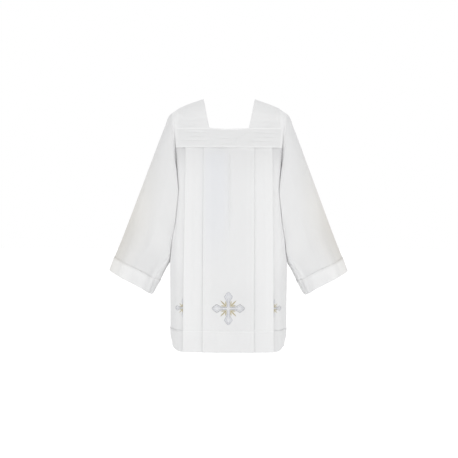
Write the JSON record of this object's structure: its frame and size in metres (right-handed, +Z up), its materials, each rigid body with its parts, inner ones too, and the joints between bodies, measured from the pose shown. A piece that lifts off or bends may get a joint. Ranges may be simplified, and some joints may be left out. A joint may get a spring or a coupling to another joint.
{
  "type": "surplice",
  "caption": "Square-necked white surplice, worn and hollow, with wide sleeves, knife pleats, deep hems and cuffs, and embroidered crosses above the hem.",
  "frame": {"origin": "midway between the shoulders, at the height where the cloth rests on them beside the neck", "axes": "+Z up and along the garment's length, -Y out of its front, +X towards the wearer's left"},
  "size_m": [0.9288, 0.3134, 0.9677],
  "materials": {
    "white_cloth": "matt white cloth, finely woven",
    "doubled_cloth": "the same cloth, doubled and pressed",
    "silver_thread": "soft sheen of embroidery thread",
    "gold_thread": "soft sheen of embroidery thread"
  },
  "bodies": {
    "root": {"chest_band_front": "doubled_cloth", "chest_band_back": "doubled_cloth", "shoulder_left": "white_cloth", "shoulder_right": "white_cloth", "panel_front": "white_cloth", "panel_back": "white_cloth", "hem_front": "doubled_cloth", "hem_back": "doubled_cloth", "sleeve_left": "white_cloth", "sleeve_right": "white_cloth", "cuff_left": "doubled_cloth", "cuff_right": "doubled_cloth"}
  },
  "joints": []
}
